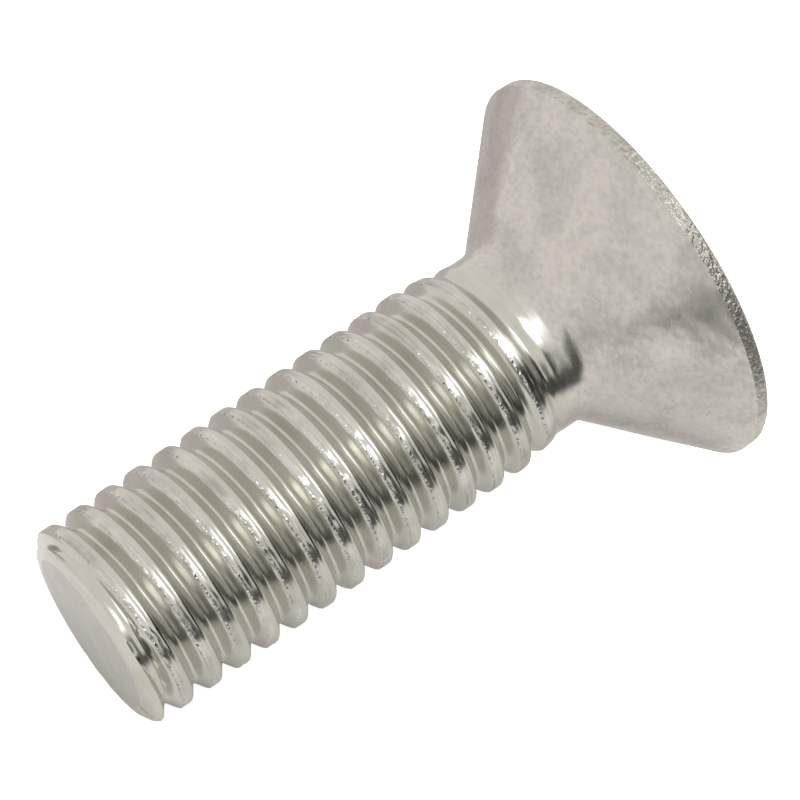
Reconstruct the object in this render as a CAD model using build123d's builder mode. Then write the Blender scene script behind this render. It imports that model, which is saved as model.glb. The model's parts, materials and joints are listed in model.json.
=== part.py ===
import os
from math import atan2, cos, floor, pi, radians, sin, tan

from build123d import *

# Sizes of the real screw, in millimetres and degrees
screw_length = 24.4
head_diameter = 15.9
head_angle = 90
head_land = 0.55
head_edge_chamfer = 0.18
neck_diameter = 7.15
neck_fillet_radius = 0.9
thread_diameter = 7.9
thread_pitch = 1.25
thread_angle = 60
thread_depth = 0.45
root_width = 0.31
neck_clearance = 0.4
crest_runout = 2.9
root_runout = 2.3
thread_turn = 155
point_inset = 0.45
point_chamfer = 0.6
point_dome = 0.12
socket_across_flats = 5.0
socket_depth = 3.4
socket_mouth_diameter = 6.0
socket_mouth_angle = 120
socket_bottom_diameter = 4.6
socket_bottom_angle = 120

# Points that each turn of a thread line is drawn through
line_steps = 12

# Head and shank
head_radius = head_diameter / 2
neck_radius = neck_diameter / 2
thread_radius = thread_diameter / 2
root_radius = thread_radius - thread_depth
point_radius = root_radius - point_inset
head_height = head_land + (head_radius - neck_radius) / tan(radians(head_angle / 2))
shank_end = screw_length - point_dome
chamfer_start = shank_end - point_chamfer
mouth_radius = socket_mouth_diameter / 2
mouth_depth = mouth_radius / tan(radians(socket_mouth_angle / 2))
bottom_radius = socket_bottom_diameter / 2
bottom_depth = bottom_radius / tan(radians(socket_bottom_angle / 2))

# One pitch of the thread form as (along the axis, out from the root), from root to root:
# the depth and the flank angle leave what remains of the pitch to the flat crest
flank_width = thread_depth * tan(radians(thread_angle / 2))
crest_start = root_width + flank_width
crest_end = thread_pitch - flank_width
thread_form = [(0, 0), (root_width, 0), (crest_start, thread_depth), (crest_end, thread_depth), (thread_pitch, 0)]

# The threaded rod takes the whole turns that fit between the neck fillet and the end
fillet_end = head_height + neck_fillet_radius * tan(radians(head_angle / 4))
turns = floor((shank_end - fillet_end) / thread_pitch)
rod_start = shank_end - turns * thread_pitch
runout_start = rod_start + neck_clearance
thread_start = runout_start + crest_runout
start_angle = radians(thread_turn)
start_direction = (cos(start_angle), sin(start_angle), 0)


def ramp(height, start, end, before, after):
    """A value that changes evenly from one height on the axis to another."""
    share = min(max((height - start) / (end - start), 0), 1)
    return before + share * (after - before)


def chamfer_radius(height):
    """The largest radius that the thread has at a height, with its chamfered end."""
    return ramp(height, chamfer_start, shank_end, thread_radius, point_radius)


def thread_point(height, angle, level):
    """A point of the thread, with level measured out from the full root."""
    root = ramp(height, thread_start - root_runout, thread_start, neck_radius, root_radius)
    crest = ramp(height, runout_start, thread_start, neck_radius, thread_radius)
    if height > chamfer_start:
        root = min(root, chamfer_radius(height))
        crest = min(crest, chamfer_radius(height))
    radius = root + (crest - root) * level / thread_depth
    return Vector(radius * cos(angle), radius * sin(angle), height)


def end_circle(radius, height):
    """The circle that a threaded end closes on."""
    return Edge.make_circle(radius, Plane((0, 0, height), start_direction, (0, 0, 1)))


def thread_line(turn, along, level):
    """One turn of the line that a corner of the thread form draws round the rod.

    The lines of the first turn fan out from one point of the neck circle, and those of
    the last turn run together on the end circle, so both ends of the rod are flat.
    """
    if turn == 0 and along == 0:
        return end_circle(neck_radius, rod_start)
    if turn == turns and along == thread_pitch:
        return end_circle(point_radius, shank_end)
    start = rod_start + (turn - 1) * thread_pitch + along
    rise = thread_pitch
    if turn == 0:
        start = rod_start
        rise = along
    if turn == turns:
        rise = thread_pitch - along

    def point(share):
        return thread_point(start + rise * share, start_angle + 2 * pi * share, level)

    shares = [step / line_steps for step in range(line_steps + 1)]
    nudge = shares[1] / 1000
    tangents = [(point(nudge) - point(0)) / nudge, (point(1) - point(1 - nudge)) / nudge]
    return Edge.make_spline(
        [point(share) for share in shares], tangents, parameters=shares, scale=False
    )


# Threaded rod: ruled strips between neighbouring thread lines, closed by two discs
strips = []
for turn in range(turns + 1):
    lines = [thread_line(turn, along, level) for along, level in thread_form]
    strips += [Face.make_surface_from_curves(*pair) for pair in zip(lines, lines[1:])]
neck_disc = Face(Wire([end_circle(neck_radius, rod_start)]))
point_disc = Face(Wire([end_circle(point_radius, shank_end)]))
threaded_rod = Solid(Shell([*strips, neck_disc, point_disc]))

# The screw upright on its head: Z runs along the axis from the flat top to the point
with BuildPart() as upright:
    with BuildSketch(Plane.XZ) as head_section:
        with BuildLine():
            Polyline(
                (0, 0),
                (head_radius, 0),
                (head_radius, head_land),
                (neck_radius, head_height),
                (neck_radius, rod_start),
                (0, rod_start),
                close=True,
            )
        make_face()
        fillet(head_section.vertices().group_by(Axis.Y)[2], radius=neck_fillet_radius)
        rim = head_section.vertices().group_by(Axis.Y)[0].sort_by(Axis.X)[-1]
        chamfer(rim, length=head_edge_chamfer)
    revolve(axis=Axis.Z)

    # Hexagon socket with a countersunk mouth and a conical bottom
    with BuildSketch(Plane.XY):
        RegularPolygon(radius=socket_across_flats / 2, side_count=6, major_radius=False)
    extrude(amount=socket_depth, mode=Mode.SUBTRACT)
    with BuildSketch(Plane.XZ):
        with BuildLine():
            Polyline((0, 0), (mouth_radius, 0), (0, mouth_depth), close=True)
        make_face()
    revolve(axis=Axis.Z, mode=Mode.SUBTRACT)
    with BuildSketch(Plane.XZ):
        with BuildLine():
            Polyline(
                (0, socket_depth),
                (bottom_radius, socket_depth),
                (0, socket_depth + bottom_depth),
                close=True,
            )
        make_face()
    revolve(axis=Axis.Z, mode=Mode.SUBTRACT)

    # Threaded rod and the slight dome on its end
    add(threaded_rod)
    with BuildSketch(Plane.XZ):
        with BuildLine():
            dome = TangentArc((0, screw_length), (point_radius, shank_end), tangent=(1, 0))
            Polyline(dome @ 1, (0, shank_end), dome @ 0)
        make_face()
    revolve(axis=Axis.Z)

# The screw lies on the rim of its head and, point down, on the crest that reaches lowest:
# the last one that starts before the chamfer or the next, which starts in it
crest_below = rod_start + crest_start + (0.5 - thread_turn / 360) * thread_pitch
last_turn = floor((chamfer_start - crest_below) / thread_pitch)
last_crest = min(crest_below + last_turn * thread_pitch + crest_end - crest_start, chamfer_start)
next_crest = min(crest_below + (last_turn + 1) * thread_pitch, shank_end)
lean = min(
    atan2(head_radius - chamfer_radius(height), height - head_land)
    for height in (last_crest, next_crest)
)
towards_point = Vector(-cos(lean), 0, -sin(lean))
upwards = Vector(-sin(lean), 0, cos(lean))
axis_height = head_radius * cos(lean) + head_land * sin(lean)
head_reach = (head_radius - head_edge_chamfer) * sin(lean)
point_reach = shank_end * cos(lean) + point_radius * sin(lean)
head_centre = Vector((point_reach - head_reach) / 2, 0, axis_height)
with BuildPart(Plane(head_centre, x_dir=upwards, z_dir=towards_point)) as screw:
    add(upright.part)

os.makedirs("parts", exist_ok=True)
screw.part.label = "screw"
export_step(screw.part, "parts/screw.step")
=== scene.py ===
"""The looks of the countersunk socket screw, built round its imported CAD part.

The screw is one closed mesh. It is made upright in millimetres, with its axis on Z, its flat
top at zero and its point up, and is then laid down where the CAD part lies.
"""

import json
import logging
from collections.abc import Iterator
from dataclasses import dataclass
from enum import IntEnum
from functools import cached_property
from math import asin, atan2, cos, degrees, exp, floor, hypot, pi, radians, sin, sqrt, tan

import bmesh
import bpy
from mathutils import Matrix, Vector, noise

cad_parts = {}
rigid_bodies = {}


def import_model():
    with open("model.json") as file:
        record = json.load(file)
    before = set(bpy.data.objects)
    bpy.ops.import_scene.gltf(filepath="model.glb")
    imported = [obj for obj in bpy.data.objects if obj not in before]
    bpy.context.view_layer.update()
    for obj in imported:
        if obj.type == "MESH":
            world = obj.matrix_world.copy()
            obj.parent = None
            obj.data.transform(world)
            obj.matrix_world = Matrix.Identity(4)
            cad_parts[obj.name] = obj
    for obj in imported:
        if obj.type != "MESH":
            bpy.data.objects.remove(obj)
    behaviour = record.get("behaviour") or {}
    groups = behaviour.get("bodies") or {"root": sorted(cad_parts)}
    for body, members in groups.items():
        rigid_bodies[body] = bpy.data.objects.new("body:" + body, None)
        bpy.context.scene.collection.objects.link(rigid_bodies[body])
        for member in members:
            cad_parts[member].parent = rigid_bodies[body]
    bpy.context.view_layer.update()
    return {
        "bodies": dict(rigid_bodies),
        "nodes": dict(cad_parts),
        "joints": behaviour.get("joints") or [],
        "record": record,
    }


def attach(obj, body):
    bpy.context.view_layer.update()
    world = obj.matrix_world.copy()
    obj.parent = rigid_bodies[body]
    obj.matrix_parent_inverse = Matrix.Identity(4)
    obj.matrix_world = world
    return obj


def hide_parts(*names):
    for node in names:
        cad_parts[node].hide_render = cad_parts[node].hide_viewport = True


log = logging.getLogger("screw")

MILLIMETRE = 0.001

# Mesh columns round the axis, and the angle past which an edge is shaded sharp
COLUMNS = 216
SHARP_ANGLE = radians(38)

# Millimetres within which points are merged, and within which one belongs to the rod's end
MERGE_DISTANCE = 5e-4
NEAR_END = 1e-3

# Sockets of a Mix node that mixes colours
MIX_SHARE, MIX_FIRST, MIX_SECOND, MIX_RESULT = 0, 6, 7, 2

# A (radius, height) point of the screw's section, and a linear colour
SectionPoint = tuple[float, float]
Colour = tuple[float, float, float]


def ramp(value: float, start: float, end: float, before: float, after: float) -> float:
    """A value that changes evenly from before to after between start and end."""
    share = min(max((value - start) / (end - start), 0.0), 1.0)
    return before + share * (after - before)


def ease(share: float) -> float:
    """A share from 0 to 1 with a soft start and end."""
    share = min(max(share, 0.0), 1.0)
    return share * share * (3.0 - 2.0 * share)


def bump(value: float, centre: float, width: float) -> float:
    """A soft hump of height 1 round a centre."""
    return exp(-(((value - centre) / width) ** 2))


def polar(radius: float, angle: float, height: float) -> Vector:
    """A point from its distance to the axis, its angle and its height."""
    return Vector((radius * cos(angle), radius * sin(angle), height))


def angle_between(angle: float, other: float) -> float:
    """The signed turn from one angle to another, at most half a turn."""
    return (angle - other + pi) % (2 * pi) - pi


def mottle(place: Vector, cells: float) -> float:
    """Smooth noise round a half, with so many cells in a millimetre."""
    return 0.5 + 0.5 * noise.noise(place * cells)


def arc(
    centre: SectionPoint, radius: float, start: float, end: float, rows: int
) -> Iterator[SectionPoint]:
    """Goes along an arc of the section, both ends included.

    Args:
        centre: middle of the arc.
        radius: radius of the arc.
        start: degrees at which it starts.
        end: degrees at which it ends.
        rows: steps between the ends.

    Returns:
        The points, one by one.
    """
    for row in range(rows + 1):
        angle = radians(start + (end - start) * row / rows)
        yield (centre[0] + radius * cos(angle), centre[1] + radius * sin(angle))


def spread(start: SectionPoint, end: SectionPoint, rows: int) -> Iterator[SectionPoint]:
    """Goes along a straight stretch of the section in even steps.

    Args:
        start: where it starts, which is left out.
        end: where it ends.
        rows: number of steps.

    Returns:
        The points, one by one.
    """
    for row in range(1, rows + 1):
        share = row / rows
        yield (
            start[0] + (end[0] - start[0]) * share,
            start[1] + (end[1] - start[1]) * share,
        )


@dataclass(frozen=True)
class ScrewSizes:
    """Sizes of the screw in millimetres and degrees.

    The radius and clearance of the neck and the run-out of the crest were read from the photo
    last. The others are those of the part's source.
    """

    screw_length: float = 24.4
    head_radius: float = 7.95
    head_half_angle: float = 45.0
    head_land: float = 0.55
    rim_rounding: float = 0.18
    neck_radius: float = 3.61
    neck_fillet_radius: float = 0.9
    thread_radius: float = 3.95
    thread_pitch: float = 1.25
    thread_depth: float = 0.45
    root_width: float = 0.31
    flank_angle: float = 30.0
    neck_clearance: float = 0.2
    crest_runout: float = 2.1
    root_runout: float = 2.3
    thread_turn: float = 155.0
    point_inset: float = 0.45
    point_chamfer: float = 0.6
    point_dome: float = 0.12
    key_radius: float = 2.5
    socket_depth: float = 3.4
    mouth_radius: float = 3.0
    bottom_radius: float = 2.3
    cone_angle: float = 60.0

    @cached_property
    def root_radius(self) -> float:
        """Distance from the axis to the bottom of the full thread."""
        return self.thread_radius - self.thread_depth

    @cached_property
    def point_radius(self) -> float:
        """Radius of the end face."""
        return self.root_radius - self.point_inset

    @cached_property
    def head_height(self) -> float:
        """Height at which the cone of the head would meet the neck."""
        narrowing = self.head_radius - self.neck_radius
        return self.head_land + narrowing / tan(radians(self.head_half_angle))

    @cached_property
    def shank_end(self) -> float:
        """Height of the edge of the end face."""
        return self.screw_length - self.point_dome

    @cached_property
    def chamfer_start(self) -> float:
        """Height at which the thread starts to run down to the end face."""
        return self.shank_end - self.point_chamfer

    @cached_property
    def fillet_end(self) -> float:
        """Height at which the neck fillet meets the neck."""
        return self.head_height + self.neck_fillet_radius * tan(radians(self.head_half_angle / 2))

    @cached_property
    def turns(self) -> int:
        """Whole turns of thread between the neck fillet and the end."""
        return floor((self.shank_end - self.fillet_end) / self.thread_pitch)

    @cached_property
    def rod_start(self) -> float:
        """Height at which the threaded rod begins."""
        return self.shank_end - self.turns * self.thread_pitch

    @cached_property
    def runout_start(self) -> float:
        """Height at which the crest starts to rise out of the neck."""
        return self.rod_start + self.neck_clearance

    @cached_property
    def thread_start(self) -> float:
        """Height from which the thread has its full form."""
        return self.runout_start + self.crest_runout


@dataclass(frozen=True)
class EndMarks:
    """What cropping and rolling left at the point, in millimetres.

    Turns are in degrees and spreads in radians. A place, length or fade is a share of the
    chamfer's height, and a level a share of the thread's depth. The face leans back on one
    side, the last turn is filled with metal on another, and a notch is bitten out of the
    rounded end.
    """

    crop_turn: float = 80.0
    crop_depth: float = 0.16
    crop_bend: float = 1.5
    dome_bend: float = 2.6
    notch_turn: float = 58.0
    notch_spread: float = 0.5
    notch_depth: float = 0.32
    notch_place: float = 0.42
    notch_length: float = 0.26
    notch_fade: float = 0.2
    fill_turn: float = -38.0
    fill_spread: float = 0.9
    fill_level: float = 0.75
    fill_ahead: float = 0.4
    fill_rise: float = 0.35


@dataclass(frozen=True)
class HeadWear:
    """How the rim was hammered and the cone dented, in millimetres, with cells in each."""

    rim_depth: float = 0.035
    rim_spread: float = 0.3
    rim_cells: float = 2.3
    fine_cells: float = 5.0
    fine_share: float = 0.25
    land_reach: float = 0.35
    land_fade: float = 0.2
    cone_depth: float = 0.02
    cone_cells: float = 0.55
    cone_fade: float = 0.3
    fillet_fade: float = 0.5


@dataclass(frozen=True)
class ZoneBorders:
    """How far past the sizes that they follow the finishes change, in millimetres."""

    point: float = 0.05
    seam: float = 0.01
    lip: float = 0.04
    worn_start: float = 0.9
    worn_end: float = 0.3
    mouth: float = 0.1
    face: float = 0.054
    land: float = 0.02


@dataclass(frozen=True)
class MeshRows:
    """Rows of faces along each stretch of the outline."""

    face: int = 6
    edge: int = 4
    land: int = 7
    cone: int = 40
    fillet: int = 8
    wall: int = 4
    point: int = 12


@dataclass(frozen=True)
class CrestForm:
    """One pitch of the rolled thread, in millimetres along the axis from root to root.

    Rolling leaves two lobes on the crest with a seam where they meet. The lobe on the side
    of the head stays smooth, and the band on the side of the point is streaked, with a
    chipped edge.
    """

    sizes: ScrewSizes
    head_lobe: float = 0.04
    root_rounding: float = 0.13
    root_drop: float = 0.04
    root_reach: float = 0.16
    shoulder: float = 0.04
    crest_rounding: float = 0.16
    crest_lift: float = 0.1
    wave_cells: float = 1.7
    seam: float = 0.73
    seam_width: float = 0.016
    seam_depth: float = 0.016
    seam_wander: float = 0.02
    lip: float = 0.975
    lip_width: float = 0.024
    lip_height: float = 0.012
    chip_cells: float = 4.1
    chip_bias: float = 0.1
    chip_depth: float = 0.04

    @cached_property
    def flank(self) -> float:
        """Width of a straight flank."""
        return self.sizes.thread_depth * tan(radians(self.sizes.flank_angle))

    @cached_property
    def root_middle(self) -> float:
        """Where the root is lowest."""
        return (self.sizes.root_width - self.head_lobe) / 2

    @cached_property
    def crest_start(self) -> float:
        """Where the flank that faces the head reaches the crest."""
        return self.sizes.root_width + self.flank - self.head_lobe

    def rows(self) -> list[float]:
        """Places the mesh rows over one pitch, closest where the form turns fastest.

        Returns:
            Their places along the axis, without the end of the pitch.
        """
        spans = (
            (0.0, self.root_middle + self.root_reach, 6),
            (self.root_middle + self.root_reach, self.crest_start + self.shoulder, 3),
            (self.crest_start + self.shoulder, self.seam - self.seam_width, 2),
            (self.seam - self.seam_width, self.seam + self.seam_width, 2),
            (self.seam + self.seam_width, self.lip - self.lip_width, 1),
            (self.lip - self.lip_width, self.lip + self.lip_width, 3),
            (self.lip + self.lip_width, self.sizes.thread_pitch, 4),
        )
        places = []
        for start, end, count in spans:
            places += [start + (end - start) * row / count for row in range(count)]
        return places

    def level(self, phase: float) -> float:
        """Height of the plain form above the root: straight flanks between soft bends.

        Args:
            phase: place along the axis, from 0 to the pitch.

        Returns:
            About 0 at the root and about 1 on the crest.
        """
        pitch = self.sizes.thread_pitch
        away = abs((phase - self.root_middle + pitch / 2) % pitch - pitch / 2)
        soft = self.root_rounding
        span = hypot(self.root_middle + self.flank, soft) - soft
        slope = (hypot(away, soft) - soft) / span
        bent = (slope + 1.0 - hypot(slope - 1.0, self.crest_rounding)) / 2
        return bent + self.crest_rounding * self.crest_lift

    def relief(self, phase: float, place: Vector) -> float:
        """What rolling adds to the plain form and takes from it.

        Args:
            phase: place along the axis, from 0 to the pitch.
            place: point on the thread, which seeds the wear.

        Returns:
            Millimetres outwards.
        """
        wave = noise.noise(place * self.wave_cells)
        seam = self.seam + self.seam_wander * wave
        cut = self.seam_depth * bump(phase, seam, self.seam_width) * (0.75 + 0.5 * wave)
        chips = max(noise.noise(place * self.chip_cells) + self.chip_bias, 0.0) * self.chip_depth
        edge = (self.lip_height - chips) * bump(phase, self.lip, self.lip_width)
        drop = self.root_drop * (1.0 - self.level(phase)) ** 2
        return edge - cut - drop


class Zone(IntEnum):
    """Parts of the surface with a finish of their own, in the order of the material slots."""

    SEAT = 0
    RIM = 1
    FACE = 2
    FLANK = 3
    CREST = 4
    POINT = 5


@dataclass(frozen=True)
class ScrewBody:
    """The mesh of the whole screw, upright and in millimetres."""

    sizes: ScrewSizes
    marks: EndMarks = EndMarks()
    head_wear: HeadWear = HeadWear()
    borders: ZoneBorders = ZoneBorders()
    rows: MeshRows = MeshRows()

    @cached_property
    def form(self) -> CrestForm:
        """The form of the thread over one pitch."""
        return CrestForm(self.sizes)

    def phase(self, height: float, angle: float) -> float:
        """Finds the place of a point within its pitch of thread.

        Args:
            height: millimetres above the flat top.
            angle: radians round the axis.

        Returns:
            Millimetres along the axis, from 0 to the pitch.
        """
        s = self.sizes
        turn = (angle - radians(s.thread_turn)) / (2 * pi)
        return (height - s.rod_start - s.thread_pitch * turn) % s.thread_pitch

    def filled_level(self, height: float, angle: float) -> float:
        """Level up to which metal fills the root of the last turn.

        Args:
            height: millimetres above the flat top.
            angle: radians round the axis.

        Returns:
            0 where nothing is filled.
        """
        marks = self.marks
        turned = bump(angle_between(angle, radians(marks.fill_turn)), 0.0, marks.fill_spread)
        past = height - self.sizes.chamfer_start + marks.fill_ahead
        return marks.fill_level * turned * ease(past / marks.fill_rise)

    def rounded_off(self, radius: float, height: float, angle: float) -> float:
        """Rounds the thread off towards the end face and bites the notch out of it.

        Args:
            radius: distance from the axis to the thread.
            height: millimetres above the flat top.
            angle: radians round the axis.

        Returns:
            Distance from the axis, in millimetres.
        """
        s, marks = self.sizes, self.marks
        if height <= s.chamfer_start:
            return radius
        drop = (height - s.chamfer_start) / s.point_chamfer
        limit = s.point_radius + (s.thread_radius - s.point_radius) * sqrt(max(1 - drop * drop, 0))
        turned = bump(angle_between(angle, radians(marks.notch_turn)), 0.0, marks.notch_spread)
        along = bump(drop, marks.notch_place, marks.notch_length) * ease((1 - drop) / marks.notch_fade)
        return min(radius, limit) - marks.notch_depth * turned * along

    def thread_radius(self, height: float, angle: float) -> float:
        """Distance from the axis to the thread.

        Args:
            height: millimetres above the flat top.
            angle: radians round the axis.

        Returns:
            Millimetres.
        """
        s = self.sizes
        phase = self.phase(height, angle)
        full = s.thread_start
        root = ramp(height, full - s.root_runout, full, s.neck_radius, s.root_radius)
        crest = ramp(height, s.runout_start, full, s.neck_radius, s.thread_radius)
        level = max(self.form.level(phase), self.filled_level(height, angle))
        share = (crest - root) / s.thread_depth
        relief = self.form.relief(phase, polar(s.thread_radius, angle, height))
        radius = root + (crest - root) * level + share * relief
        return self.rounded_off(min(radius, s.thread_radius), height, angle)

    def end_cut(self, height: float, angle: float, radius: float) -> float:
        """How far the cropped end leans back.

        Args:
            height: millimetres above the flat top.
            angle: radians round the axis.
            radius: distance from the axis.

        Returns:
            Millimetres towards the head.
        """
        s, marks = self.sizes, self.marks
        far = 0.5 + 0.5 * cos(angle - radians(marks.crop_turn)) * radius / s.point_radius
        near_end = ease((height - s.chamfer_start) / s.point_chamfer)
        return marks.crop_depth * max(far, 0.0) ** marks.crop_bend * near_end

    def rod(self, mesh: bmesh.types.BMesh) -> None:
        """Adds the threaded rod as one helical band of a pitch, copied turn by turn.

        Args:
            mesh: where the surface is added.
        """
        s = self.sizes
        start = radians(s.thread_turn)
        places = [*self.form.rows(), s.thread_pitch]
        known = {*mesh.verts, *mesh.edges, *mesh.faces}
        line = [
            mesh.verts.new(polar(1.0, start, s.rod_start - s.thread_pitch + place))
            for place in places
        ]
        edges = [mesh.edges.new(pair) for pair in zip(line, line[1:])]
        bmesh.ops.spin(
            mesh,
            geom=[*line, *edges],
            cent=(0, 0, 0),
            axis=(0, 0, 1),
            dvec=(0, 0, s.thread_pitch / COLUMNS),
            angle=2 * pi,
            steps=COLUMNS,
            use_merge=False,
        )
        band = [part for part in (*mesh.verts, *mesh.edges, *mesh.faces) if part not in known]
        for turn in range(1, s.turns + 1):
            copied = bmesh.ops.duplicate(mesh, geom=band)["geom"]
            moved = [part for part in copied if isinstance(part, bmesh.types.BMVert)]
            bmesh.ops.translate(mesh, verts=moved, vec=(0, 0, turn * s.thread_pitch))
        for vertex in mesh.verts:
            if vertex in known:
                continue
            angle = atan2(vertex.co.y, vertex.co.x)
            height = vertex.co.z
            if height < s.rod_start + NEAR_END:
                height = s.rod_start
            if height > s.shank_end - NEAR_END:
                height = s.shank_end
            radius = self.thread_radius(height, angle)
            vertex.co = polar(radius, angle, height - self.end_cut(height, angle, radius))

    def spin_outline(
        self, mesh: bmesh.types.BMesh, outline: list[SectionPoint]
    ) -> list[bmesh.types.BMVert]:
        """Turns an outline once round the axis.

        Args:
            mesh: where the surface is added.
            outline: points from one end of the surface to the other.

        Returns:
            The new vertices.
        """
        known = set(mesh.verts)
        line = [mesh.verts.new(polar(radius, 0.0, height)) for radius, height in outline]
        edges = [mesh.edges.new(pair) for pair in zip(line, line[1:])]
        bmesh.ops.spin(
            mesh,
            geom=[*line, *edges],
            cent=(0, 0, 0),
            axis=(0, 0, 1),
            dvec=(0, 0, 0),
            angle=2 * pi,
            steps=COLUMNS,
            use_merge=True,
        )
        return [vertex for vertex in mesh.verts if vertex not in known]

    def socket(self, mesh: bmesh.types.BMesh) -> None:
        """Adds the hexagon socket with its countersunk mouth and conical bottom.

        Args:
            mesh: where the surface is added.
        """
        s = self.sizes
        slope = tan(radians(s.cone_angle))
        side = pi / 3
        wall_top = (s.mouth_radius - s.key_radius) / slope
        outline = [
            (0.0, s.socket_depth + s.bottom_radius / slope),
            (s.bottom_radius, s.socket_depth),
            (s.key_radius, s.socket_depth),
            *spread((s.key_radius, s.socket_depth), (s.key_radius, wall_top), self.rows.wall),
            (s.mouth_radius, 0.0),
        ]
        for vertex in self.spin_outline(mesh, outline):
            if abs(hypot(vertex.co.x, vertex.co.y) - s.key_radius) > MERGE_DISTANCE:
                continue
            angle = atan2(vertex.co.y, vertex.co.x)
            radius = s.key_radius / cos((angle + side / 2) % side - side / 2)
            share = (s.socket_depth - vertex.co.z) / (s.socket_depth - wall_top)
            top = (s.mouth_radius - radius) / slope
            vertex.co = polar(radius, angle, s.socket_depth + (top - s.socket_depth) * share)

    def head(self, mesh: bmesh.types.BMesh) -> None:
        """Adds the flat top, the hammered rim, the cone and the neck fillet.

        Args:
            mesh: where the surface is added.
        """
        s, rows = self.sizes, self.rows
        edge = s.rim_rounding
        fillet = s.neck_fillet_radius
        fillet_centre = (s.neck_radius + fillet, s.fillet_end)
        fillet_start = (
            fillet_centre[0] - fillet * sin(radians(s.head_half_angle)),
            fillet_centre[1] - fillet * cos(radians(s.head_half_angle)),
        )
        outline = [
            (s.mouth_radius, 0.0),
            *spread((s.mouth_radius, 0.0), (s.head_radius - edge, 0.0), rows.face),
            *arc((s.head_radius - edge, edge), edge, -90, 0, rows.edge),
            *spread((s.head_radius, edge), (s.head_radius, s.head_land), rows.land),
            *spread((s.head_radius, s.head_land), fillet_start, rows.cone),
            *arc(fillet_centre, fillet, 180 + s.head_half_angle, 180, rows.fillet),
            (s.neck_radius, s.rod_start),
        ]
        for vertex in self.spin_outline(mesh, outline):
            vertex.co += self.worn(vertex.co)

    def worn(self, place: Vector) -> Vector:
        """How far use and making moved a point of the head.

        Args:
            place: the point on the true form.

        Returns:
            The move in millimetres, which always goes inwards.
        """
        s, wear = self.sizes, self.head_wear
        radius = hypot(place.x, place.y)
        outwards = Vector((place.x, place.y, 0)).normalized() if radius > 0 else Vector()
        land_middle = (s.head_land + s.rim_rounding) / 2
        at_edge = ease((radius - s.head_radius + wear.land_reach) / wear.land_fade)
        on_land = bump(place.z, land_middle, wear.rim_spread) * at_edge
        hammered = mottle(place, wear.rim_cells)
        hammered += wear.fine_share * noise.noise(place * wear.fine_cells)
        past_land = ease((place.z - s.head_land) / wear.cone_fade)
        on_cone = past_land * ease((s.fillet_end - place.z) / wear.fillet_fade)
        dented = mottle(place, wear.cone_cells)
        return -outwards * (wear.rim_depth * on_land * hammered + wear.cone_depth * on_cone * dented)

    def point(self, mesh: bmesh.types.BMesh) -> None:
        """Adds the slightly domed end face.

        Args:
            mesh: where the surface is added.
        """
        s = self.sizes
        outline = []
        for row in range(self.rows.point + 1):
            share = 1.0 - row / self.rows.point
            rise = s.point_dome * (1 - share**self.marks.dome_bend)
            outline.append((s.point_radius * share, s.shank_end + rise))
        for vertex in self.spin_outline(mesh, outline):
            angle = atan2(vertex.co.y, vertex.co.x)
            vertex.co.z -= self.end_cut(s.shank_end, angle, hypot(vertex.co.x, vertex.co.y))

    def rod_zone(self, centre: Vector) -> Zone:
        """Finds the zone of a face of the rod or its end.

        Args:
            centre: middle of the face.

        Returns:
            The end face, a flank or the streaked side of the crest.
        """
        s, borders = self.sizes, self.borders
        face_start = s.shank_end - self.marks.crop_depth - borders.point
        if hypot(centre.x, centre.y) < s.point_radius and centre.z > face_start:
            return Zone.POINT
        phase = self.phase(centre.z, atan2(centre.y, centre.x))
        on_crest = self.form.seam - borders.seam < phase < self.form.lip + borders.lip
        worn = s.runout_start + borders.worn_start < centre.z < s.shank_end - borders.worn_end
        return Zone.CREST if on_crest and worn else Zone.FLANK

    def zone(self, centre: Vector) -> Zone:
        """Finds the zone that a face belongs to.

        Args:
            centre: middle of the face.

        Returns:
            Its zone.
        """
        s, borders = self.sizes, self.borders
        if centre.z > s.rod_start:
            return self.rod_zone(centre)
        in_socket = hypot(centre.x, centre.y) < s.mouth_radius + borders.mouth
        if in_socket or centre.z < borders.face:
            return Zone.FACE
        return Zone.RIM if centre.z < s.head_land + borders.land else Zone.SEAT

    def build(self, name: str, placement: Matrix) -> bpy.types.Object:
        """Makes the closed mesh and lays it down.

        Args:
            name: name of the object.
            placement: from upright millimetres to the row frame.

        Returns:
            The object, at the origin and unturned.
        """
        mesh = bmesh.new()
        self.point(mesh)
        self.socket(mesh)
        self.head(mesh)
        self.rod(mesh)
        bmesh.ops.remove_doubles(mesh, verts=mesh.verts, dist=MERGE_DISTANCE)
        bmesh.ops.dissolve_degenerate(mesh, edges=mesh.edges, dist=MERGE_DISTANCE)
        bmesh.ops.recalc_face_normals(mesh, faces=mesh.faces)
        for face in mesh.faces:
            face.smooth = True
            face.material_index = self.zone(face.calc_center_median())
        for edge in mesh.edges:
            edge.smooth = edge.calc_face_angle(0.0) < SHARP_ANGLE
        open_edges = sum(1 for edge in mesh.edges if not edge.is_manifold)
        triangles = sum(len(face.verts) - 2 for face in mesh.faces)
        log.info("%s: %d triangles, %d open edges", name, triangles, open_edges)
        bmesh.ops.transform(mesh, matrix=placement, verts=mesh.verts)
        data = bpy.data.meshes.new(name)
        mesh.to_mesh(data)
        mesh.free()
        body = bpy.data.objects.new(name, data)
        bpy.context.scene.collection.objects.link(body)
        return body


@dataclass(frozen=True)
class SteelFinish:
    """How one zone of the stainless steel looks. Lengths are in millimetres.

    The grain is noise that is drawn out round the axis: cells_around and cells_across are
    its cells in a millimetre, and helical makes it follow the thread.
    """

    name: str
    colour: Colour
    stain: Colour
    stain_share: float
    roughness: tuple[float, float]
    cells_around: float
    cells_across: float
    grain_depth: float
    dent_cells: float
    dent_depth: float
    helical: bool = False
    chip_cells: float = 0.0
    chip_depth: float = 0.0


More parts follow.
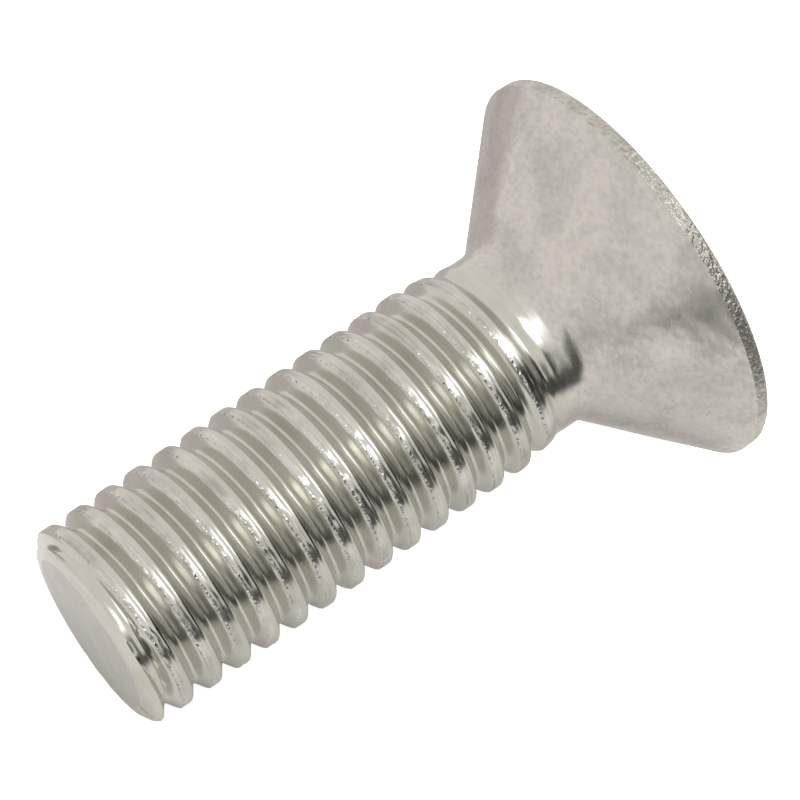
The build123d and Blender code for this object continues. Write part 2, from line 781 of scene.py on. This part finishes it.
FINISHES: dict[Zone, SteelFinish] = {
    Zone.SEAT: SteelFinish(
        name="satin_cone",
        colour=(0.63, 0.605, 0.58),
        stain=(0.41, 0.405, 0.37),
        stain_share=0.7,
        roughness=(0.20, 0.32),
        cells_around=3.5,
        cells_across=3.5,
        grain_depth=0.0022,
        dent_cells=0.45,
        dent_depth=0.085,
    ),
    Zone.RIM: SteelFinish(
        name="hammered_rim",
        colour=(0.62, 0.60, 0.56),
        stain=(0.34, 0.32, 0.29),
        stain_share=0.8,
        roughness=(0.26, 0.42),
        cells_around=4.2,
        cells_across=4.2,
        grain_depth=0.13,
        dent_cells=1.8,
        dent_depth=0.060,
    ),
    Zone.FACE: SteelFinish(
        name="pressed_face",
        colour=(0.66, 0.64, 0.61),
        stain=(0.52, 0.50, 0.47),
        stain_share=0.3,
        roughness=(0.28, 0.42),
        cells_around=2.0,
        cells_across=2.0,
        grain_depth=0.002,
        dent_cells=0.8,
        dent_depth=0.004,
    ),
    Zone.FLANK: SteelFinish(
        name="rolled_flank",
        colour=(0.60, 0.59, 0.545),
        stain=(0.45, 0.44, 0.39),
        stain_share=0.5,
        roughness=(0.17, 0.27),
        cells_around=0.5,
        cells_across=7.0,
        grain_depth=0.0008,
        dent_cells=1.0,
        dent_depth=0.004,
        helical=True,
    ),
    Zone.CREST: SteelFinish(
        name="streaked_crest",
        colour=(0.66, 0.65, 0.62),
        stain=(0.30, 0.29, 0.25),
        stain_share=0.75,
        roughness=(0.16, 0.28),
        cells_around=0.7,
        cells_across=13.0,
        grain_depth=0.002,
        dent_cells=3.0,
        dent_depth=0.004,
        helical=True,
        chip_cells=4.5,
        chip_depth=0.16,
    ),
    Zone.POINT: SteelFinish(
        name="pressed_point",
        colour=(0.53, 0.515, 0.50),
        stain=(0.42, 0.41, 0.39),
        stain_share=0.3,
        roughness=(0.30, 0.42),
        cells_around=1.0,
        cells_across=1.0,
        grain_depth=0.001,
        dent_cells=0.7,
        dent_depth=0.006,
    ),
}


@dataclass(frozen=True)
class SteelPattern:
    """How the noise of every steel finish is made and mixed.

    The cloud is a slow noise for stains and roughness. A range is the stretch of a noise
    that counts.
    """

    cloud_cells: float = 0.55
    cloud_detail: float = 3.0
    cloud_roughness: float = 0.6
    cloud_range: tuple[float, float] = (0.4, 0.62)
    cloud_share: float = 0.6
    grain_detail: float = 2.5
    grain_roughness: float = 0.55
    grain_range: tuple[float, float] = (0.42, 0.66)
    grain_share: float = 0.4
    grain_climb: float = 0.8
    dent_detail: float = 2.0
    dent_roughness: float = 0.5
    chip_detail: float = 1.5
    chip_roughness: float = 0.55
    chip_fade: float = 4.0
    roughness_range: tuple[float, float] = (0.35, 0.65)


class Nodes:
    """Adds nodes to a material or a world."""

    def __init__(self, owner: bpy.types.Material | bpy.types.World) -> None:
        """Turns the owner's nodes on."""
        owner.use_nodes = True
        self.tree = owner.node_tree

    def node(self, kind: str, **settings: str) -> bpy.types.Node:
        """Adds a node.

        Args:
            kind: its type.
            settings: names and values of its properties.

        Returns:
            The node.
        """
        made = self.tree.nodes.new(kind)
        for key, value in settings.items():
            setattr(made, key, value)
        return made

    def link(self, source: bpy.types.NodeSocket, target: bpy.types.NodeSocket) -> None:
        """Joins an output to an input."""
        self.tree.links.new(source, target)

    def math(self, operation: str, *values: float | bpy.types.NodeSocket) -> bpy.types.NodeSocket:
        """Adds a Math node.

        Args:
            operation: what it works out.
            values: a number or an output for each of its inputs.

        Returns:
            Its output.
        """
        made = self.node("ShaderNodeMath", operation=operation)
        for socket, value in zip(made.inputs, values):
            if isinstance(value, (int, float)):
                socket.default_value = value
            else:
                self.link(value, socket)
        return made.outputs[0]

    def noise(
        self, vector: bpy.types.NodeSocket, scale: float, detail: float, roughness: float
    ) -> bpy.types.NodeSocket:
        """Adds a Noise Texture.

        Args:
            vector: where it is read.
            scale: its cells in a unit of the vector.
            detail: how many finer noises are added.
            roughness: how strong the finer ones are.

        Returns:
            Its value.
        """
        made = self.node("ShaderNodeTexNoise")
        made.inputs["Scale"].default_value = scale
        made.inputs["Detail"].default_value = detail
        made.inputs["Roughness"].default_value = roughness
        self.link(vector, made.inputs["Vector"])
        return made.outputs[0]

    def remap(
        self, value: bpy.types.NodeSocket, span: tuple[float, float], result: tuple[float, float]
    ) -> bpy.types.NodeSocket:
        """Adds a Map Range node.

        Args:
            value: what is turned.
            span: the start and end of the value that count.
            result: what they become.

        Returns:
            Its output.
        """
        made = self.node("ShaderNodeMapRange")
        for socket, number in zip(made.inputs[1:5], (*span, *result)):
            socket.default_value = number
        self.link(value, made.inputs[0])
        return made.outputs[0]

    def mix(self, share: bpy.types.NodeSocket, first: Colour, second: Colour) -> bpy.types.NodeSocket:
        """Adds a Mix node for two colours.

        Args:
            share: how much of the second colour shows, from 0 to 1.
            first: the first colour.
            second: the second colour.

        Returns:
            The mixed colour.
        """
        made = self.node("ShaderNodeMix", data_type="RGBA")
        self.link(share, made.inputs[MIX_SHARE])
        made.inputs[MIX_FIRST].default_value = (*first, 1.0)
        made.inputs[MIX_SECOND].default_value = (*second, 1.0)
        return made.outputs[MIX_RESULT]


class SteelMaterial(Nodes):
    """A node material for one finish, in the screw's own upright millimetres."""

    def __init__(self, finish: SteelFinish, sizes: ScrewSizes, placement: Matrix) -> None:
        """Starts the material.

        Args:
            finish: what it looks like.
            sizes: the thread that a helical grain follows.
            placement: from upright millimetres to the row frame.
        """
        self.finish = finish
        self.pattern = SteelPattern()
        self.sizes = sizes
        self.placement = placement
        self.material = bpy.data.materials.new(finish.name)
        super().__init__(self.material)
        self.shader = self.tree.nodes["Principled BSDF"]

    def upright(self) -> bpy.types.NodeSocket:
        """Finds the point in the screw's own upright millimetres.

        Returns:
            The point as a vector.
        """
        place, turn, scale = self.placement.decompose()
        mapping = self.node("ShaderNodeMapping", vector_type="TEXTURE")
        mapping.inputs["Location"].default_value = place
        mapping.inputs["Rotation"].default_value = turn.to_euler()
        mapping.inputs["Scale"].default_value = scale
        self.link(self.node("ShaderNodeTexCoord").outputs["Object"], mapping.inputs["Vector"])
        return mapping.outputs[0]

    def across(self, upright: bpy.types.Node) -> bpy.types.NodeSocket:
        """Finds the place across the grain.

        Args:
            upright: the node that splits the upright point.

        Returns:
            The height, or for a helical grain the place within the thread's pitch.
        """
        x, y, z = upright.outputs
        if not self.finish.helical:
            return z
        s = self.sizes
        turn = self.math("DIVIDE", self.math("ARCTAN2", y, x), 2 * pi)
        rise = self.math("MULTIPLY", self.math("SUBTRACT", turn, s.thread_turn / 360), s.thread_pitch)
        along = self.math("SUBTRACT", self.math("SUBTRACT", z, s.rod_start), rise)
        return self.math("FLOORED_MODULO", along, s.thread_pitch)

    def grain(self, upright: bpy.types.Node) -> bpy.types.NodeSocket:
        """Adds the noise that is drawn out round the axis.

        Args:
            upright: the node that splits the upright point.

        Returns:
            The noise.
        """
        finish, pattern = self.finish, self.pattern
        x, y, z = upright.outputs
        place = self.node("ShaderNodeCombineXYZ")
        self.link(self.math("MULTIPLY", x, finish.cells_around), place.inputs[0])
        self.link(self.math("MULTIPLY", y, finish.cells_around), place.inputs[1])
        lifted = self.math("MULTIPLY", self.across(upright), finish.cells_across)
        turned = self.math("MULTIPLY", z, finish.cells_around * pattern.grain_climb)
        self.link(self.math("ADD", lifted, turned), place.inputs[2])
        return self.noise(place.outputs[0], 1.0, pattern.grain_detail, pattern.grain_roughness)

    def chips(self, upright: bpy.types.Node, point: bpy.types.NodeSocket) -> bpy.types.NodeSocket:
        """Adds rough bites along the edge of the crest that faces the point.

        Args:
            upright: the node that splits the upright point.
            point: the upright point itself.

        Returns:
            Their height as a share of the finish's chip depth.
        """
        form, pattern = CrestForm(self.sizes), self.pattern
        away = self.math("ABSOLUTE", self.math("SUBTRACT", self.across(upright), form.lip))
        near = self.remap(away, (form.lip_width, form.lip_width * pattern.chip_fade), (1.0, 0.0))
        bites = self.noise(point, self.finish.chip_cells, pattern.chip_detail, pattern.chip_roughness)
        return self.math("MULTIPLY", near, self.math("SUBTRACT", bites, 0.5))

    def dress(self, cloud: bpy.types.NodeSocket, grain: bpy.types.NodeSocket) -> None:
        """Sets the colour, the roughness and the metal.

        Args:
            cloud: the slow noise of stains.
            grain: the noise along the grain.
        """
        finish, pattern = self.finish, self.pattern
        blotches = self.remap(cloud, pattern.cloud_range, (0.0, 1.0))
        streaks = self.remap(grain, pattern.grain_range, (0.0, 1.0))
        stained = self.math("MULTIPLY", self.blend(blotches, streaks), finish.stain_share)
        self.link(self.mix(stained, finish.colour, finish.stain), self.shader.inputs["Base Color"])
        rough = self.remap(self.blend(cloud, grain), pattern.roughness_range, finish.roughness)
        self.link(rough, self.shader.inputs["Roughness"])
        self.shader.inputs["Metallic"].default_value = 1.0

    def blend(self, slow: bpy.types.NodeSocket, drawn: bpy.types.NodeSocket) -> bpy.types.NodeSocket:
        """Adds the slow noise and the drawn-out one in their shares.

        Args:
            slow: what the cloud gives.
            drawn: what the grain gives.

        Returns:
            Their sum.
        """
        slow_part = self.math("MULTIPLY", slow, self.pattern.cloud_share)
        return self.math("ADD", slow_part, self.math("MULTIPLY", drawn, self.pattern.grain_share))

    def build(self) -> bpy.types.Material:
        """Links the nodes.

        Returns:
            The finished material.
        """
        finish, pattern = self.finish, self.pattern
        point = self.upright()
        upright = self.node("ShaderNodeSeparateXYZ")
        self.link(point, upright.inputs[0])
        grain = self.grain(upright)
        dents = self.noise(point, finish.dent_cells, pattern.dent_detail, pattern.dent_roughness)
        cloud = self.noise(point, pattern.cloud_cells, pattern.cloud_detail, pattern.cloud_roughness)
        self.dress(cloud, grain)

        grain_height = self.math("MULTIPLY", grain, finish.grain_depth)
        height = self.math("ADD", grain_height, self.math("MULTIPLY", dents, finish.dent_depth))
        if finish.chip_depth > 0:
            chips = self.math("MULTIPLY", self.chips(upright, point), finish.chip_depth)
            height = self.math("ADD", height, chips)
        relief = self.node("ShaderNodeBump")
        relief.inputs["Strength"].default_value = 1.0
        relief.inputs["Distance"].default_value = MILLIMETRE
        self.link(height, relief.inputs["Height"])
        self.link(relief.outputs[0], self.shader.inputs["Normal"])
        return self.material


class Screw:
    """The finished screw, which stands for the CAD node."""

    def __init__(self, frame: dict) -> None:
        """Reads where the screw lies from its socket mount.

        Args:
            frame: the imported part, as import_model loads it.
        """
        self.sizes = ScrewSizes()
        socket = next(mount for mount in frame["record"]["mounts"] if mount["name"] == "socket")
        forward = -Vector(socket["axis"]).normalized()
        upwards = (Vector((0, 0, 1)) - forward * forward.z).normalized()
        side = forward.cross(upwards)
        turn = Matrix((upwards, side, forward)).transposed().to_4x4()
        place = Matrix.Translation(Vector(socket["pos_m"]))
        self.placement = place @ turn @ Matrix.Scale(MILLIMETRE, 4)

    @property
    def lean(self) -> float:
        """Degrees by which the axis leans down towards the point."""
        return degrees(asin(-self.placement[2][2] / MILLIMETRE))

    @property
    def middle(self) -> Vector:
        """The middle of the axis in the row frame."""
        return self.placement @ Vector((0, 0, self.sizes.screw_length / 2))

    def build(self) -> bpy.types.Object:
        """Makes the mesh and its materials and ties it to the frame.

        Returns:
            The screw.
        """
        body = ScrewBody(self.sizes).build("countersunk_screw", self.placement)
        for zone in Zone:
            material = SteelMaterial(FINISHES[zone], self.sizes, self.placement)
            body.data.materials.append(material.build())
        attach(body, "root")
        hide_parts("screw")
        log.info("leans %.2f degrees", self.lean)
        return body


def direction(turn_deg: float, lift_deg: float) -> Vector:
    """The way from the screw to a place: turn 0 is in front of it, 90 on its right."""
    turn, lift = radians(turn_deg), radians(lift_deg)
    return Vector((sin(turn) * cos(lift), -cos(turn) * cos(lift), sin(lift)))


@dataclass(frozen=True)
class Softbox:
    """A soft studio light that looks at the screw. Lengths are in metres."""

    name: str
    turn_deg: float
    lift_deg: float
    distance: float
    width: float
    height: float
    power: float
    colour: Colour


@dataclass(frozen=True)
class Card:
    """A card that only shows in the metal: bright paper, or a dark flag."""

    name: str
    turn_deg: float
    lift_deg: float
    distance: float
    width: float
    height: float
    brightness: float
    colour: Colour


@dataclass(frozen=True)
class FloorCard:
    """A card that lies on the floor and only shows in the metal, where it paints a reflection. Lengths
    are in metres.
    """

    name: str
    turn_deg: float
    near: float
    far: float
    width: float
    height: float
    brightness: float
    colour: Colour


@dataclass(frozen=True)
class PaperFloor:
    """The white paper that the screw lies on, in metres.

    It glows by in_view to the camera and by in_metal to the metal, on top of its own light.
    """

    size: float = 1.6
    tone: float = 0.85
    roughness: float = 0.9
    in_view: float = 0.75
    in_metal: float = 0.02


WHITE = (1.0, 1.0, 1.0)
BEIGE = (1.0, 0.97, 0.92)
OLIVE = (0.95, 1.0, 0.86)
ROSE = (1.0, 0.93, 0.90)

# How bright the surround is in the metal
SURROUND_IN_METAL = 0.95

SOFTBOXES = (
    Softbox(
        name="overhead",
        turn_deg=20.0,
        lift_deg=70.0,
        distance=0.50,
        width=0.30,
        height=0.20,
        power=0.7,
        colour=(1.0, 0.98, 0.95),
    ),
)

CARDS = (
    Card(
        name="left_flag",
        turn_deg=-28.0,
        lift_deg=2.0,
        distance=0.35,
        width=0.42,
        height=0.20,
        brightness=0.24,
        colour=OLIVE,
    ),
    Card(
        name="right_flag",
        turn_deg=50.0,
        lift_deg=6.0,
        distance=0.36,
        width=0.40,
        height=0.32,
        brightness=0.03,
        colour=OLIVE,
    ),
    Card(
        name="key",
        turn_deg=41.0,
        lift_deg=51.5,
        distance=0.34,
        width=0.17,
        height=0.16,
        brightness=3.3,
        colour=(1.0, 1.0, 0.99),
    ),
)

FLOOR_CARDS = (
    # Painted dark reflections: dim glowing sheets in front of the screw that only the metal sees,
    # while the camera sees white paper there
    FloorCard(
        name="near_painted_dark_reflection",
        turn_deg=8.0,
        near=0.019,
        far=0.055,
        width=0.085,
        height=0.0004,
        brightness=0.06,
        colour=OLIVE,
    ),
    FloorCard(
        name="middle_painted_dark_reflection",
        turn_deg=5.0,
        near=0.055,
        far=0.14,
        width=0.20,
        height=0.0004,
        brightness=0.06,
        colour=OLIVE,
    ),
    FloorCard(
        name="far_painted_dark_reflection",
        turn_deg=5.0,
        near=0.14,
        far=0.40,
        width=0.48,
        height=0.0004,
        brightness=0.06,
        colour=OLIVE,
    ),
    # Painted reflection: a glowing rose sheet behind the screw that only the metal sees, standing in
    # for a pale table
    FloorCard(
        name="rose_painted_reflection",
        turn_deg=150.0,
        near=0.002,
        far=0.05,
        width=0.06,
        height=0.0006,
        brightness=0.64,
        colour=ROSE,
    ),
)


class Studio:
    """The pale floor, the lights, the cards and the white surround."""

    def __init__(self, middle: Vector) -> None:
        """Keeps the point that the lights look at."""
        self.middle = middle

    def place(self, source: Softbox | Card) -> Matrix:
        """Finds where a light or a card stands, looking at the screw.

        Args:
            source: the light or the card.

        Returns:
            Its place and turn.
        """
        back = direction(source.turn_deg, source.lift_deg)
        facing = back.to_track_quat("Z", "Y").to_matrix().to_4x4()
        return Matrix.Translation(self.middle + back * source.distance) @ facing

    def lay(self, card: FloorCard) -> Matrix:
        """Finds where a card lies, from near the screw outwards.

        Args:
            card: the card on the floor.

        Returns:
            Its place and turn.
        """
        away = direction(card.turn_deg, 0.0) * ((card.near + card.far) / 2)
        spot = Vector((self.middle.x, self.middle.y, card.height)) + away
        return Matrix.Translation(spot) @ Matrix.Rotation(radians(card.turn_deg), 4, "Z")

    def softbox(self, box: Softbox) -> None:
        """Adds one area light, which the metal doesn't mirror.

        Args:
            box: its size, place and power.
        """
        light = bpy.data.lights.new(box.name, "AREA")
        light.shape = "RECTANGLE"
        light.size, light.size_y = box.width, box.height
        light.energy = box.power
        light.color = box.colour
        lamp = bpy.data.objects.new(box.name, light)
        lamp.matrix_world = self.place(box)
        lamp.visible_glossy = False
        bpy.context.scene.collection.objects.link(lamp)

    def sheet(self, name: str, width: float, height: float, matrix: Matrix) -> bpy.types.Object:
        """Adds a flat rectangle and names it as part of the stage.

        Args:
            name: its name.
            width: its width in metres.
            height: its height in metres.
            matrix: where it goes.

        Returns:
            The object.
        """
        mesh = bmesh.new()
        bmesh.ops.create_grid(mesh, x_segments=1, y_segments=1, size=0.5)
        bmesh.ops.scale(mesh, vec=(width, height, 1), verts=mesh.verts)
        bmesh.ops.transform(mesh, matrix=matrix, verts=mesh.verts)
        data = bpy.data.meshes.new(name)
        mesh.to_mesh(data)
        mesh.free()
        made = bpy.data.objects.new(name, data)
        bpy.context.scene.collection.objects.link(made)
        return made

    def card(self, card: Card | FloorCard, width: float, height: float, matrix: Matrix) -> None:
        """Adds one card, which neither the camera nor the floor sees.

        Args:
            card: its name, brightness and colour.
            width: its width in metres.
            height: its height in metres.
            matrix: where it goes.
        """
        made = self.sheet(card.name, width, height, matrix)
        made.visible_camera = False
        made.visible_diffuse = False
        made.visible_shadow = False
        material = bpy.data.materials.new(card.name)
        nodes = Nodes(material)
        nodes.tree.nodes.remove(nodes.tree.nodes["Principled BSDF"])
        glow = nodes.node("ShaderNodeEmission")
        glow.inputs["Color"].default_value = (*card.colour, 1.0)
        glow.inputs["Strength"].default_value = card.brightness
        nodes.link(glow.outputs[0], nodes.tree.nodes["Material Output"].inputs[0])
        made.data.materials.append(material)

    def floor(self) -> None:
        """Adds the floor, which reads as white paper and keeps a faint shadow."""
        paper = PaperFloor()
        made = self.sheet("floor", paper.size, paper.size, Matrix.Identity(4))
        material = bpy.data.materials.new("white_paper")
        nodes = Nodes(material)
        shader = nodes.tree.nodes["Principled BSDF"]
        shader.inputs["Base Color"].default_value = (paper.tone, paper.tone, paper.tone, 1.0)
        shader.inputs["Roughness"].default_value = paper.roughness
        shader.inputs["Emission Color"].default_value = (*WHITE, 1.0)
        ray = nodes.node("ShaderNodeLightPath").outputs
        mirrored = nodes.math("MAXIMUM", ray["Is Glossy Ray"], ray["Is Transmission Ray"])
        faint = nodes.math("MULTIPLY", mirrored, paper.in_metal)
        shown = nodes.math("MULTIPLY_ADD", ray["Is Camera Ray"], paper.in_view, faint)
        nodes.link(shown, shader.inputs["Emission Strength"])
        made.data.materials.append(material)

    def surround(self) -> None:
        """Makes the world white to the camera and a pale beige to the metal."""
        world = bpy.data.worlds.new("surround")
        nodes = Nodes(world)
        ray = nodes.node("ShaderNodeLightPath").outputs
        pale = tuple(SURROUND_IN_METAL * part for part in BEIGE)
        tone = nodes.mix(ray["Is Camera Ray"], pale, WHITE)
        nodes.link(tone, nodes.tree.nodes["Background"].inputs["Color"])
        bpy.context.scene.world = world

    def build(self) -> None:
        """Sets up the whole studio."""
        self.floor()
        self.surround()
        for box in SOFTBOXES:
            self.softbox(box)
        for card in CARDS:
            self.card(card, card.width, card.height, self.place(card))
        for card in FLOOR_CARDS:
            self.card(card, card.width, card.far - card.near, self.lay(card))
        log.info("studio: %d lights, %d cards", len(SOFTBOXES), len(CARDS) + len(FLOOR_CARDS))


@dataclass(frozen=True)
class PhotoCamera:
    """The camera of the photo. Lengths are in millimetres, angles in degrees.

    It looks down on the screw from the side of its point. The aim is the place on the
    screw's axis that lies opposite the middle of the picture, a little beside it. The
    clips are in metres.
    """

    turn_deg: float = -36.42
    lift_deg: float = 46.94
    distance: float = 138.6
    aim_along: float = 11.85
    aim_right: float = 1.008
    aim_up: float = 1.449
    lens: float = 174.3
    near_clip: float = 0.01
    far_clip: float = 10.0

    def build(self, placement: Matrix) -> None:
        """Adds the camera and makes it the scene's own.

        Args:
            placement: from upright millimetres to the row frame.
        """
        back = direction(self.turn_deg, self.lift_deg)
        right = direction(self.turn_deg + 90, 0.0)
        up = back.cross(right)
        aim = placement @ Vector((0, 0, self.aim_along))
        offset = right * self.aim_right + up * self.aim_up + back * self.distance
        data = bpy.data.cameras.new("photo_camera")
        data.lens = self.lens
        data.clip_start, data.clip_end = self.near_clip, self.far_clip
        camera = bpy.data.objects.new("photo_camera", data)
        facing = Matrix((right, up, back)).transposed().to_4x4()
        camera.matrix_world = Matrix.Translation(aim + offset * MILLIMETRE) @ facing
        bpy.context.scene.collection.objects.link(camera)
        bpy.context.scene.camera = camera


def main() -> None:
    """Builds the screw in its frame, then the studio and the camera."""
    logging.basicConfig(level=logging.INFO, format="%(name)s: %(message)s")
    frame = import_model()
    screw = Screw(frame)
    screw.build()
    Studio(screw.middle).build()
    PhotoCamera().build(screw.placement)
    bpy.context.scene.view_settings.view_transform = "Standard"


if __name__ == "__main__":
    main()
